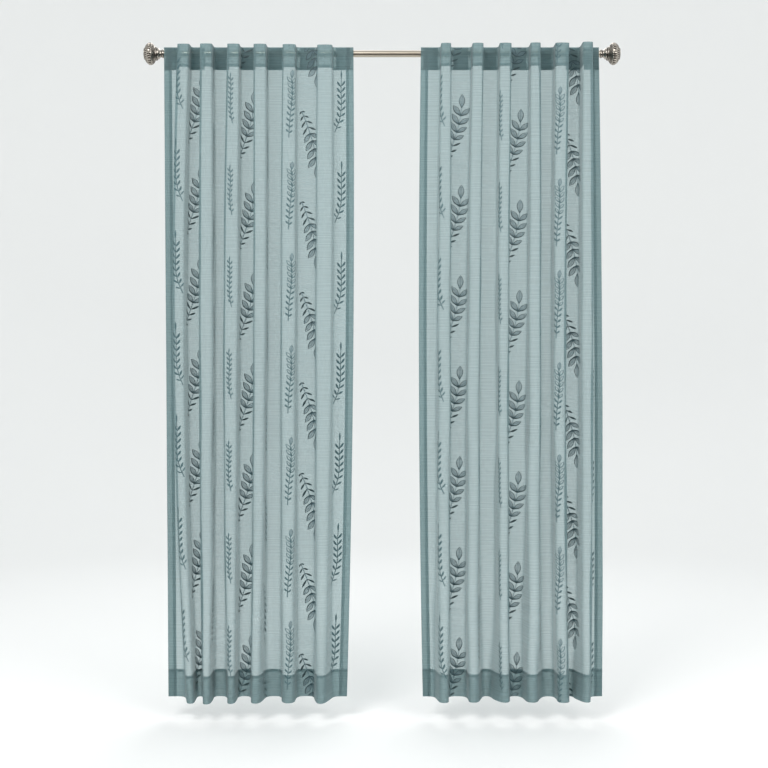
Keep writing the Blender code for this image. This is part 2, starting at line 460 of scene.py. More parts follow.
@dataclass(frozen=True)
class AntiquedNickelCasting:
    """Cast resin plated in nickel and antiqued: polished ridges, dark wax left in the grooves."""

    ridge_colour: str = "#C9C2B8"
    groove_colour: str = "#2A2621"
    cloud_colour: str = "#8A8278"
    roughness: float = 0.24
    groove_roughness: float = 0.6
    cloud_mm: float = 6
    cloud_detail: float = 4.0
    cloud_roughness: float = 0.65
    uneven_wax: float = 0.35  # how much the clouds add to how deep a point lies
    clean_below: float = 0.38
    dark_above: float = 0.95
    bump_mm: float = 0.08
    bump_strength: float = 0.4

    def material(self) -> Material:
        """Build the antiqued metal.

        Returns:
            A metal that reads how deep each point lies from the attribute "recess".
        """
        made, tree = blank_material("antiqued_nickel_plated_resin")
        recess = add_node(tree, "ShaderNodeAttribute", attribute_name="recess").outputs["Fac"]
        place = add_node(tree, "ShaderNodeTexCoord").outputs["Object"]
        cloud = add_node(
            tree,
            "ShaderNodeTexNoise",
            {
                "Vector": place,
                "Scale": 1 / (self.cloud_mm * MM),
                "Detail": self.cloud_detail,
                "Roughness": self.cloud_roughness,
            },
        ).outputs["Fac"]
        rubbed = add_node(
            tree,
            "ShaderNodeMix",
            {0: cloud, 6: linear(self.ridge_colour), 7: linear(self.cloud_colour)},
            data_type="RGBA",
        ).outputs[2]
        uneven = add_node(
            tree, "ShaderNodeMath", {0: cloud, 1: self.uneven_wax, 2: recess}, operation="MULTIPLY_ADD"
        ).outputs[0]
        wax = add_node(
            tree,
            "ShaderNodeMapRange",
            {"Value": uneven, "From Min": self.clean_below, "From Max": self.dark_above},
            interpolation_type="SMOOTHSTEP",
        ).outputs[0]
        colour = add_node(
            tree, "ShaderNodeMix", {0: wax, 6: rubbed, 7: linear(self.groove_colour)}, data_type="RGBA"
        ).outputs[2]
        rough = add_node(
            tree,
            "ShaderNodeMapRange",
            {"Value": wax, "To Min": self.roughness, "To Max": self.groove_roughness},
        ).outputs[0]
        bump = add_node(
            tree,
            "ShaderNodeBump",
            {"Height": cloud, "Distance": self.bump_mm * MM, "Strength": self.bump_strength},
        ).outputs[0]
        metal = add_node(
            tree,
            "ShaderNodeBsdfPrincipled",
            {"Base Color": colour, "Metallic": 1.0, "Roughness": rough, "Normal": bump},
        ).outputs[0]
        add_node(tree, "ShaderNodeOutputMaterial", {"Surface": metal})
        return made


@dataclass(frozen=True)
class StudioPaper:
    """Matt seamless studio paper: even and pale, with no gloss."""

    colour: str = "#F4F4F3"
    tooth_mm: float = 3
    bump_mm: float = 0.05

    def material(self) -> Material:
        """Build the paper.

        Returns:
            A matt material with a faint tooth.
        """
        made, tree = blank_material("seamless_studio_paper")
        place = add_node(tree, "ShaderNodeTexCoord").outputs["Object"]
        tooth = add_node(
            tree, "ShaderNodeTexNoise", {"Vector": place, "Scale": 1 / (self.tooth_mm * MM)}
        ).outputs["Fac"]
        bump = add_node(
            tree, "ShaderNodeBump", {"Height": tooth, "Distance": self.bump_mm * MM}
        ).outputs[0]
        paper = add_node(
            tree,
            "ShaderNodeBsdfPrincipled",
            {
                "Base Color": linear(self.colour),
                "Roughness": 1.0,
                "Specular IOR Level": 0.0,
                "Normal": bump,
            },
        ).outputs[0]
        add_node(tree, "ShaderNodeOutputMaterial", {"Surface": paper})
        return made


# ---------------------------------------------------------------- the hanging cloth

DROP = 2.134  # top edge to hem
HEADING_RISE = 0.018  # top edge above the rod's axis
TAB_SPACING = 0.2035  # cloth between two tabs
CLOTH_PLANE = -0.01375  # the flats' cloth, just in front of the rod
PLY = 0.0006  # from one ply of a hem to the next
HEM_LEAN_POWER = 5  # a fold's feet spread mostly near the hem
LEAST_FOLD_DEPTH = 0.02
STRAIGHT = 0.01  # radians: a corner that turns less than this stays a point
CORNER_ROOM = 0.48  # the share of a side that the arc at one of its ends may take up


@dataclass(frozen=True)
class Across:
    """A place across the rod in mm, at a panel's heading, middle height and hem."""

    head: float
    mid: float
    hem: float

    def at(self, fraction: float, middle: float) -> float:
        """Read the smooth curve through the three places.

        Args:
            fraction: How far down the drop, from 0 to 1.
            middle: The fraction at which mid holds.

        Returns:
            The place there, in metres.
        """
        at_head = (fraction - middle) * (fraction - 1) / middle
        at_mid = fraction * (fraction - 1) / (middle * (middle - 1))
        at_hem = fraction * (fraction - middle) / (1 - middle)
        return (self.head * at_head + self.mid * at_mid + self.hem * at_hem) * MM


@dataclass(frozen=True)
class Fold:
    """One fold's two front corners, and how far each foot leans outward at the hem, in mm."""

    left: Across
    right: Across
    lean_left: float
    lean_right: float


class Front(NamedTuple):
    """Where one fold's two front corners and two feet are along the rod, at one height."""

    start: float
    end: float
    left_foot: float
    right_foot: float


@dataclass(frozen=True)
class Crease:
    """A soft ridge, or a trough if height is negative, that runs down the cloth; sizes in mm."""

    u: float
    v_from: float
    v_to: float
    width: float
    height: float
    drift: float = 0  # sideways, from its top to its bottom


@dataclass(frozen=True)
class Level:
    """How rounded and how bowed the folds are at one fraction of the drop, in mm."""

    fraction: float
    corner_radius: float
    crown: float
    trough: float


LEVELS = (
    Level(0.0, 8, 3.0, 0.0),
    Level(0.035, 8, 3.5, 0.0),
    Level(0.12, 9, 4.0, 1.5),
    Level(0.30, 11, 4.5, 3.0),
    Level(0.50, 13, 5.0, 4.0),
    Level(0.68, 14, 5.5, 4.0),
    Level(0.85, 15, 6.0, 5.0),
    Level(1.0, 16, 7.0, 5.0),
)


def rounded(corners: list[tuple[Points, float]], steps: int = 10) -> tuple[Points, dict[int, int]]:
    """Turn a line through corners into one with an arc at each corner that has a radius.

    Args:
        corners: Each corner's point in the plan and its radius.
        steps: Pieces of each arc.

    Returns:
        The line's points, and the place in them of each corner that stayed a point.
    """
    path = [corners[0][0]]
    kept: dict[int, int] = {}
    for number in range(1, len(corners) - 1):
        point, radius = corners[number]
        come = point - corners[number - 1][0]
        leave = corners[number + 1][0] - point
        turn = math.atan2(come[0] * leave[1] - come[1] * leave[0], come @ leave)
        if radius == 0 or abs(turn) < STRAIGHT:
            kept[number] = len(path)
            path.append(point)
            continue
        room = min(np.linalg.norm(come), np.linalg.norm(leave)) * CORNER_ROOM
        reach = min(radius * math.tan(abs(turn) / 2), room)
        arc_radius = reach / math.tan(abs(turn) / 2)
        side = math.copysign(1, turn)
        along = come / np.linalg.norm(come)
        centre = point - along * reach + np.array((-along[1], along[0])) * side * arc_radius
        spoke = point - along * reach - centre
        for angle in np.linspace(0, turn, steps + 1):
            cosine, sine = math.cos(angle), math.sin(angle)
            turned = (spoke[0] * cosine - spoke[1] * sine, spoke[0] * sine + spoke[1] * cosine)
            path.append(centre + np.array(turned))
    path.append(corners[-1][0])
    return np.array(path), kept


@dataclass
class FoldedCloth:
    """The hanging shape of one panel's cloth: six forward folds between seven tabs."""

    mid_fraction: float
    left_edge: Across
    right_edge: Across
    left_margin_mm: float
    right_margin_mm: float
    droop_mm: float  # how far a fold's front hangs below the flats that the rod holds
    folds: tuple[Fold, ...]
    creases: tuple[Crease, ...]
    ripple_seed: int
    # How far the section is blurred, at each fraction of the drop.
    softening_mm: tuple[tuple[float, float], ...] = (
        (0, 2.2), (0.1, 2.6), (0.5, 4.0), (0.85, 6.0), (1, 9.0),
    )
    columns: int = 561
    rows: int = 111
    ripple_mm: float = 1.7
    ripples: int = 7
    ripple_across: tuple[float, float] = (0.05, 0.16)  # shortest and longest wave across the cloth
    ripple_down: tuple[float, float] = (0.28, 0.85)  # and down it
    ripple_sum: float = 2.2  # about what the waves come to where they meet
    ripples_grow: tuple[float, float] = (0.09, 0.9)  # from none to full, in metres down the cloth
    held_to: tuple[float, float] = (0.075, 0.16)  # held flat above the first, free below the second
    crease_fade: float = 0.7
    width: float = field(init=False)
    places: Points = field(init=False)
    normals: Points = field(init=False)

    def __post_init__(self) -> None:
        """Work out the cloth's width and the place and normal of each lattice point."""
        self.width = (self.left_margin_mm + self.right_margin_mm) * MM + TAB_SPACING * len(self.folds)
        flat = np.zeros((self.rows, self.columns, 3))
        across = np.linspace(0, self.width, self.columns)
        down = np.linspace(0, DROP, self.rows)
        for row, depth in enumerate(down):
            path, threads = self.section(depth / DROP)
            reach = np.interp(depth / DROP, *zip(*self.softening_mm)) * MM
            for axis in (0, 1):
                line = np.interp(across, threads, path[:, axis])
                flat[row, :, axis] = self.softened(line, reach / (across[1] - across[0]))
        forward = np.clip((CLOTH_PLANE - flat[:, :, 1]) / (CLOTH_PLANE - flat[:, :, 1].min()), 0, 1)
        flat[:, :, 2] = HEADING_RISE - down[:, None] - self.droop_mm * MM * forward
        lifted = self.relief(across[None, :], down[:, None])
        self.places = flat + self.facing(flat) * lifted[:, :, None]
        self.normals = self.facing(self.places)

    @staticmethod
    def softened(line: Points, reach: float) -> Points:
        """Blur a row of values, keeping its two ends.

        Args:
            line: The values.
            reach: The blur's standard deviation, in values.

        Returns:
            The blurred row.
        """
        span = max(1, math.ceil(3 * reach))
        weights = np.exp(-0.5 * (np.arange(-span, span + 1) / reach) ** 2)
        before = 2 * line[0] - line[span:0:-1]
        after = 2 * line[-1] - line[-2 : -span - 2 : -1]
        padded = np.concatenate([before, line, after])
        return np.convolve(padded, weights / weights.sum(), mode="valid")

    @staticmethod
    def facing(grid: Points) -> Points:
        """Find the unit normals of a grid of points, on the room's side.

        Args:
            grid: Points as rows by columns by three.

        Returns:
            The normals in the same layout.
        """
        down = np.gradient(grid, axis=0)
        across = np.gradient(grid, axis=1)
        normal = np.cross(down, across)
        normal /= np.linalg.norm(normal, axis=2, keepdims=True)
        return -normal if normal[:, :, 1].mean() > 0 else normal

    def section(self, fraction: float) -> tuple[Points, Points]:
        """Lay out the cloth in plan at one height.

        Args:
            fraction: How far down the drop, from 0 to 1.

        Returns:
            Points (x, y) along the cloth, and the thread coordinate u of each.
        """
        stated = [level.fraction for level in LEVELS]
        radius, crown, trough = (
            np.interp(fraction, stated, [getattr(level, name) for level in LEVELS]) * MM
            for name in ("corner_radius", "crown", "trough")
        )
        left = self.left_edge.at(fraction, self.mid_fraction)
        right = self.right_edge.at(fraction, self.mid_fraction)
        spread = fraction**HEM_LEAN_POWER * MM
        fronts = []
        for fold in self.folds:
            start = fold.left.at(fraction, self.mid_fraction)
            end = fold.right.at(fraction, self.mid_fraction)
            left_foot, right_foot = start - fold.lean_left * spread, end + fold.lean_right * spread
            fronts.append(Front(start, end, left_foot, right_foot))
        troughs = [left + self.left_margin_mm * MM]
        troughs += [(this.right_foot + other.left_foot) / 2 for this, other in zip(fronts, fronts[1:])]
        troughs.append(right - self.right_margin_mm * MM)

        corners = [(np.array((left, CLOTH_PLANE)), 0.0)]
        marks = []
        for number, (start, end, left_foot, right_foot) in enumerate(fronts):
            # The walls take up the cloth between two troughs that the fold's own width doesn't, and
            # what is saved by going round its four corners instead of into them.
            pitch = troughs[number + 1] - troughs[number]
            saved = 4 * (2 - math.pi / 2) * min(radius, (end - start) / 2)
            lean = (start - left_foot + right_foot - end) / 2
            wall = (TAB_SPACING - pitch + saved) / 2 + lean
            front = CLOTH_PLANE - max(LEAST_FOLD_DEPTH, math.sqrt(max(0.0, wall**2 - lean**2)))
            if number:
                marks.append(len(corners))
                corners.append((np.array((troughs[number], CLOTH_PLANE + trough)), 0.0))
            corners.append((np.array((left_foot, CLOTH_PLANE)), radius))
            corners.append((np.array((start, front)), radius))
            corners.append((np.array(((start + end) / 2, front - crown)), 0.0))
            corners.append((np.array((end, front)), radius))
            corners.append((np.array((right_foot, CLOTH_PLANE)), radius))
        corners.append((np.array((right, CLOTH_PLANE)), 0.0))
        path, kept = rounded(corners)
        run = np.concatenate([[0], np.cumsum(np.linalg.norm(np.diff(path, axis=0), axis=1))])
        known_run = [0, *(run[kept[mark]] for mark in marks), run[-1]]
        known_threads = [self.left_margin_mm * MM + TAB_SPACING * k for k in range(1, len(self.folds))]
        return path, np.interp(run, known_run, [0, *known_threads, self.width])

    def relief(self, u: Points, v: Points) -> Points:
        """Find how far ripples and creases lift the cloth from its plain folds.

        Args:
            u: Thread coordinates across, in metres.
            v: Thread coordinates down, in metres.

        Returns:
            The lift in metres, 0 along the heading, where the rod and tabs hold the cloth.
        """
        dice = np.random.default_rng(self.ripple_seed)
        lift = np.zeros(np.broadcast(u, v).shape)
        for _ in range(self.ripples):
            wave_u, wave_v = dice.uniform(*self.ripple_across), dice.uniform(*self.ripple_down)
            phase, tilt = dice.uniform(0, 2 * math.pi), dice.choice((-1, 1))
            wave = np.sin(2 * math.pi * (u / wave_u + tilt * v / wave_v) + phase)
            lift += wave * wave_u / self.ripple_across[1]
        lift *= self.ripple_mm * MM / self.ripple_sum * smooth_step(v, *self.ripples_grow)
        for crease in self.creases:
            share = np.clip((v - crease.v_from * MM) / ((crease.v_to - crease.v_from) * MM), 0, 1)
            middle = (crease.u + crease.drift * (share - 0.5)) * MM
            ends = np.sin(math.pi * share) ** self.crease_fade
            lift += crease.height * MM * ends * np.exp(-(((u - middle) / (crease.width * MM)) ** 2))
        return lift * smooth_step(v, *self.held_to)

    def place(self, u: Points, v: Points, lift: Points | float) -> Points:
        """Find where threads are in the room.

        Args:
            u: Thread coordinates across, in metres.
            v: Thread coordinates down, in metres.
            lift: Distance from the cloth towards the room, in metres.

        Returns:
            Points, with the layout of u and one more axis of three.
        """
        u, v, lift = np.broadcast_arrays(u, v, lift)
        column = np.clip(u / self.width * (self.columns - 1), 0, self.columns - 1.000001)
        row = np.clip(v / DROP * (self.rows - 1), 0, self.rows - 1.000001)
        left, top = column.astype(int), row.astype(int)
        across, down = (column - left)[..., None], (row - top)[..., None]

        def read(grid: Points) -> Points:
            """Read a lattice between its four nearest points."""
            upper = grid[top, left] * (1 - across) + grid[top, left + 1] * across
            lower = grid[top + 1, left] * (1 - across) + grid[top + 1, left + 1] * across
            return upper * (1 - down) + lower * down

        normal = read(self.normals)
        normal = normal / np.linalg.norm(normal, axis=-1, keepdims=True)
        return read(self.places) + normal * lift[..., None]


# ---------------------------------------------------------------- embroidery


class Tone(Enum):
    """Which floss a stroke is sewn in."""

    DARK = 0
    MID = 1
    SOFT = 2


class Motif(Enum):
    """The four leaf motifs."""

    SPRIG = "sprig"
    FROND = "frond"
    FERN = "fern"
    TWIG = "twig"


class Turn(Enum):
    """How a motif is turned on the cloth, as the signs of its x and y."""

    UPRIGHT = (1, 1)
    MIRRORED = (-1, 1)
    FLIPPED = (1, -1)
    HALF_TURN = (-1, -1)


@dataclass(frozen=True)
class Stroke:
    """A sewn line in a motif's own millimetres: its points, half its width at each, its floss."""

    points: Points
    half_width: Points
    tone: Tone


@dataclass(frozen=True)
class Stem:
    """A motif's stem: straight down from its top, then bending aside, in mm."""

    top: float
    bottom: float
    bend: float  # sideways at the bottom, to the right if positive
    sway: float = 0
    power: float = 2.2

    def at(self, y: Points | float) -> Points:
        """Find the stem's points.

        Args:
            y: Distances down.

        Returns:
            The points (x, y), centred on the stem's own width.
        """
        share = (np.asarray(y, float) - self.top) / (self.bottom - self.top)
        x = self.bend * np.abs(share) ** self.power - self.bend / 2
        x = x + self.sway * np.sin(2 * math.pi * share)
        return np.stack([x, np.asarray(y, float)], axis=-1)

    def lean(self, y: float) -> float:
        """Find how far the stem leans at a height, in degrees, positive if its top is to the right."""
        above, below = self.at(y - 2.0), self.at(y + 2.0)
        return math.degrees(math.atan2(above[0] - below[0], 4.0))


@dataclass(frozen=True)
class Pairs:
    """Opposite leaves or ticks down a slender stem, evenly apart, in mm."""

    first: float  # where the top pair is
    last: float
    count: int
    length: float
    shorter: float  # than the pair above
    width: float
    stagger: float  # how far the right one sits below the left one
    lean: float  # of the top pair, in degrees away from straight up
    lean_step: float = 1
    narrower: float = 0
    bow: float = 0.8
    leaves: int = 0  # how many pairs, from the top, are outlined leaves, the rest being ticks
    with_stem: bool = True  # whether they lean with the stem


@dataclass
class MotifDrawer:
    """Draws the leaf motifs as sewn strokes, each round its own centre with its tip upwards."""

    hatch_pitch_mm: float = 3.4
    hatch_half_width: tuple[float, float] = (0.5, 0.6)
    hatch_span: tuple[float, float] = (0.10, 0.80)  # where the stitches start, in shares of a leaf
    hatch_run: float = 0.16  # how far towards the tip each one slants
    hatch_end: float = 0.94
    rib_span: tuple[float, float] = (0.06, 0.84)
    rib_half_width: tuple[float, float] = (0.8, 0.5)
    outline_step_mm: float = 3.0
    outline_taper: tuple[float, float] = (1.1, 0.6)  # of its stated width, at foot and tip
    slenderness: float = 0.40  # width of a leaf in a pair for its length
    line_inset: float = 0.5  # how far in from a leaf's edge its outline runs, for its half width
    hatch_inset: float = 0.7  # the same where the stitches end
    fine_line: float = 1.1  # half the width of a leaf's upper outline
    fern_line: float = 1.6  # the same of the lower outline of the fern's pairs
    belly_place: float = 1.12
    belly_shape: float = 1.05
    tick_step_mm: float = 3.0
    tick_end: float = 0.22  # a tick's width at its ends, as a share of its widest
    tick_place: float = 1.25

    def leaf(
        self, base: Points, angle: float, length: float, width: float, inner: float, outer: float,
        hatched: bool, side: int = 1,
    ) -> list[Stroke]:
        """Draw an outlined leaf with a point at each end.

        Args:
            base: Where the leaf leaves the stem.
            angle: Direction of its tip in degrees, from straight up, positive to the right.
            length: Base to tip.
            width: Widest part.
            inner: Half the width of the upper outline.
            outer: Half the width of the lower outline.
            hatched: Whether fishbone stitches fill it.
            side: 1 if its lower edge is on the right of its axis, -1 if on the left.

        Returns:
            The strokes.
        """
        turn = math.radians(angle)
        along = np.array((math.sin(turn), -math.cos(turn)))
        across = np.array((-along[1], along[0])) * side
        steps = max(6, round(length / self.outline_step_mm))
        share = np.linspace(0, 1, steps + 1)
        strokes = []
        for sign, heavy in ((-1, inner), (1, outer)):
            reach = self.belly(share) * (width / 2 - heavy * self.line_inset)
            edge = base + share[:, None] * along * length + (sign * reach)[:, None] * across
            strokes.append(Stroke(edge, heavy * np.interp(share, (0, 1), self.outline_taper), Tone.DARK))
        if hatched:
            rib = base + np.linspace(*self.rib_span, steps)[:, None] * along * length
            strokes.append(Stroke(rib, np.linspace(*self.rib_half_width, steps), Tone.MID))
            for start in np.arange(*self.hatch_span, self.hatch_pitch_mm / length):
                end = min(self.hatch_end, start + self.hatch_run)
                reach = float(self.belly(end)) * (width / 2 - outer * self.hatch_inset)
                for sign in (-1, 1):
                    line = np.array((
                        base + along * start * length,
                        base + along * end * length + across * sign * reach,
                    ))
                    strokes.append(Stroke(line, np.array(self.hatch_half_width), Tone.MID))
        return strokes

    def belly(self, share: Points | float) -> Points:
        """Find half a leaf's width along it: pointed at its foot, fullest just past its middle.

        Args:
            share: How far along the leaf, from 0 at its foot to 1 at its tip.

        Returns:
            The half width, 1 where it is fullest.
        """
        swell = np.sin(math.pi * np.asarray(share, float) ** self.belly_place)
        return swell.clip(0) ** self.belly_shape

    def tick(
        self, base: Points, angle: float, length: float, width: float, bow: float, side: int
    ) -> Stroke:
        """Draw a solid satin stroke, widest past its middle.

        Args:
            base: Where the stroke leaves the stem.
            angle: Direction of its tip in degrees, from straight up, positive to the right.
            length: Base to tip.
            width: Widest part.
            bow: How far its middle bows away from the tip's side.
            side: 1 on the right of the stem, -1 on the left.

        Returns:
            The stroke.
        """
        turn = math.radians(angle)
        along = np.array((math.sin(turn), -math.cos(turn)))
        across = np.array((-along[1], along[0])) * side
        share = np.linspace(0, 1, max(4, round(length / self.tick_step_mm)) + 1)
        points = base + share[:, None] * along * length
        points = points + (bow * np.sin(math.pi * share))[:, None] * across
        swell = np.sin(math.pi * share**self.tick_place)
        return Stroke(points, width / 2 * (self.tick_end + (1 - self.tick_end) * swell), Tone.DARK)

    def pairs(self, stem: Stem, row: Pairs) -> list[Stroke]:
        """Draw the pairs down a slender stem.

        Args:
            stem: The stem.
            row: The pairs on it.

        Returns:
            The strokes, from the top down.
        """
        strokes = []
        for number, spot in enumerate(np.linspace(row.first, row.last, row.count)):
            length = row.length - row.shorter * number
            width = row.width - row.narrower * number
            stem_lean = stem.lean(spot) if row.with_stem else 0
            for side in (-1, 1):
                foot = stem.at(spot + row.stagger * (side > 0))
                lean = stem_lean + side * (row.lean + row.lean_step * number)
                if number < row.leaves:
                    leaf_width = length * self.slenderness
                    strokes += self.leaf(
                        foot, lean, length, leaf_width, self.fine_line, self.fern_line, False, side
                    )
                else:
                    strokes.append(self.tick(foot, lean, length, width, row.bow, side))
        return strokes

    def frond(self) -> list[Stroke]:
        """Draw the broad-leaved frond, 224 mm tall.

        Returns:
            The strokes.
        """
        stem = Stem(top=-66, bottom=112, bend=-50, power=1.5)
        run = np.linspace(stem.top, stem.bottom, 50)
        line = np.interp(run, (stem.top, 20, stem.bottom), (0.9, 1.1, 1.2))
        strokes = [Stroke(stem.at(run), line, Tone.MID)]
        tip = stem.top + 2
        strokes += self.leaf(
            stem.at(stem.top), stem.lean(tip), 44, 19, inner=self.fine_line, outer=1.2, hatched=True
        )
        pairs, leaf_pairs, longest, right_share = 8, 4, 42, 0.94
        spot, first_gap, gap_step = -40.0, 28.5, 2.3
        for number in range(pairs):
            size = longest * (1 - (number / (pairs + 0.4)) ** 1.8)
            foot = stem.at(spot)
            for side in (-1, 1):
                lean = stem.lean(spot) + side * (45 + number)
                long = size if side < 0 else size * right_share
                if number < leaf_pairs:
                    outer = 1.9 - 0.05 * number
                    leaf_width = long * self.slenderness
                    strokes += self.leaf(foot, lean, long, leaf_width, self.fine_line, outer, True, side)
                else:
                    width = 6.4 - 0.4 * (number - leaf_pairs)
                    strokes.append(self.tick(foot, lean, long, width, bow=0.6, side=side))
            spot += first_gap - gap_step * number
        return strokes

    def sprig(self) -> list[Stroke]:
        """Draw the slender sprig with a long tip and a forked tail, 205 mm tall.

        Returns:
            The strokes.
        """
        stem = Stem(top=-102, bottom=102, bend=26, sway=3.5, power=3.0)
        run = np.linspace(stem.top + 10, stem.bottom, 48)
        line = np.interp(run, (run[0], -60, stem.bottom), (0.9, 1.2, 1.4))
        tip_lean = stem.lean(-74.0) + 4
        row = Pairs(
            first=-50, last=70, count=7, length=22.5, shorter=0.4, width=6.6, stagger=3,
            lean=35, narrower=0.1,
        )
        return [
            Stroke(stem.at(run), line, Tone.DARK),
            self.tick(stem.at(-70.0), tip_lean, length=32, width=5.2, bow=0, side=1),
            *self.pairs(stem, row),
            self.tick(stem.at(84.0), angle=40, length=19, width=4.4, bow=0.5, side=1),
            self.tick(stem.at(88.0), angle=-72, length=17, width=4.4, bow=0.5, side=-1),
        ]

    def fern(self) -> list[Stroke]:
        """Draw the narrow fern of outlined oval leaves, 217 mm tall.

        Returns:
            The strokes.
        """
        stem = Stem(top=-88, bottom=108, bend=-9, sway=2.0)
        run = np.linspace(stem.top, stem.bottom, 46)
        line = np.interp(run, (stem.top, stem.bottom), (1.0, 1.4))
        row = Pairs(
            first=-70, last=90, count=10, length=25, shorter=1.2, width=5.4, stagger=3, lean=38, leaves=5
        )
        return [
            Stroke(stem.at(run), line, Tone.DARK),
            *self.leaf(stem.at(-86.0), 6, 26, 12, inner=self.fine_line, outer=1.2, hatched=True),
            *self.pairs(stem, row),
        ]

    def twig(self) -> list[Stroke]:
        """Draw the thin twig with fine ticks, 162 mm tall.

        Returns:
            The strokes.
        """
        stem = Stem(top=-81, bottom=81, bend=9, sway=2.5)
        run = np.linspace(stem.top + 6, stem.bottom, 40)
        row = Pairs(
            first=-60, last=66, count=9, length=14.5, shorter=0.2, width=4.6, stagger=4,
            lean=36, lean_step=0, bow=0.6, with_stem=False,
        )
        return [
            Stroke(stem.at(run), np.full_like(run, 1.2), Tone.DARK),
            self.tick(stem.at(-68.0), angle=4, length=15, width=3.8, bow=0, side=1),
            *self.pairs(stem, row),
        ]

    def draw(self, motif: Motif) -> list[Stroke]:
        """Draw one of the motifs.

        Args:
            motif: Which one.

        Returns:
            Its strokes.
        """
        strokes = getattr(self, motif.value)()
        if motif is Motif.FROND:
            return strokes
        # The slender motifs are sewn in a softer floss than the fronds.
        return [
            replace(stroke, tone=Tone.SOFT) if stroke.tone is Tone.DARK else stroke for stroke in strokes
        ]


@dataclass(frozen=True)
class MotifColumn:
    """One motif repeated down the cloth: where it is across, where its first centre is, in mm."""

    motif: Motif
    u: float
    first_v: float
    turn: Turn = Turn.UPRIGHT


@dataclass
class Embroidery:
    """The leaf motifs sewn on one panel, in columns with one repeat down the cloth."""

    side: Side
    cloth: FoldedCloth
    columns: tuple[MotifColumn, ...]
    shift_mm: float
    repeat_mm: float = 297.6
    pile_mm: float = 0.34
    least_pile_mm: float = 0.12
    pile_slope: float = 0.2  # how much higher a stroke stands for each mm of its half width
    floor_mm: float = 0.10
    edge_clear: float = 0.0004

    def ribbon(self, stroke: Stroke) -> tuple[Points, Points]:
        """Give a stroke its two edges and a raised middle line.

        Args:
            stroke: The sewn line.

        Returns:
            Points (x, y) in mm as stations by three, and the lift in metres of each.
        """
        direction = np.gradient(stroke.points, axis=0)
        direction /= np.maximum(np.linalg.norm(direction, axis=1, keepdims=True), 1e-9)
        aside = np.stack([-direction[:, 1], direction[:, 0]], axis=1)
        reach = aside * stroke.half_width[:, None]
        across = np.stack([stroke.points - reach, stroke.points, stroke.points + reach], axis=1)
        pile = self.least_pile_mm + self.pile_slope * stroke.half_width
        rise = np.minimum(self.pile_mm, pile) + self.floor_mm
        low = np.full_like(rise, self.floor_mm)
        return across, np.stack([low, rise, low], axis=1) * MM

    def build(self, drawer: MotifDrawer, finishes: Sequence[Material]) -> Object:
        """Sew all the motifs of the panel.

        Args:
            drawer: Draws the motifs.
            finishes: The dark, the mid and the soft floss, as Tone numbers them.

        Returns:
            The embroidery as one piece.
        """
        parts = MeshParts()
        shapes = {
            motif: [(*self.ribbon(stroke), stroke.tone) for stroke in drawer.draw(motif)]
            for motif in Motif
        }
        for column in self.columns:
            start = column.first_v + self.shift_mm - self.repeat_mm
            for middle in np.arange(start, DROP / MM + self.repeat_mm / 2, self.repeat_mm):
                for across, lift, tone in shapes[column.motif]:
                    places = across * column.turn.value + np.array((column.u, middle))
                    self.sew(parts, places * MM, lift, tone)
        piece = parts.to_object(f"{self.side.word}_leaf_embroidery", finishes)
        return place_on_frame(piece, "embroidery_thread")

    def sew(self, parts: MeshParts, threads: Points, lift: Points, tone: Tone) -> None:
        """Lay one stroke on the cloth, without what runs past its edges.

        Args:
            parts: The mesh that takes it.
            threads: Thread coordinates in metres, as stations by three by two.
            lift: Lift of each in metres.
            tone: Its floss.
        """
        u, v = threads[:, :, 0], threads[:, :, 1]
        inside = (u.min(axis=1) > 0) & (u.max(axis=1) < self.cloth.width)
        inside &= (v.min(axis=1) > self.edge_clear) & (v.max(axis=1) < DROP - self.edge_clear)
        if inside.sum() < 2:
            return
        first, last = np.flatnonzero(inside)[[0, -1]]
        kept = slice(first, last + 1)
        if not inside[kept].all():
            return
        parts.add_grid(self.cloth.place(u[kept], v[kept], lift[kept]), threads[kept], tone.value)


# ---------------------------------------------------------------- panels, tabs and stitches


class Edge(Enum):
    """An edge of the cloth: whether it runs across it, and whether it is the far one."""

    TOP = (True, False)
    BOTTOM = (True, True)
    LEFT = (False, False)
    RIGHT = (False, True)


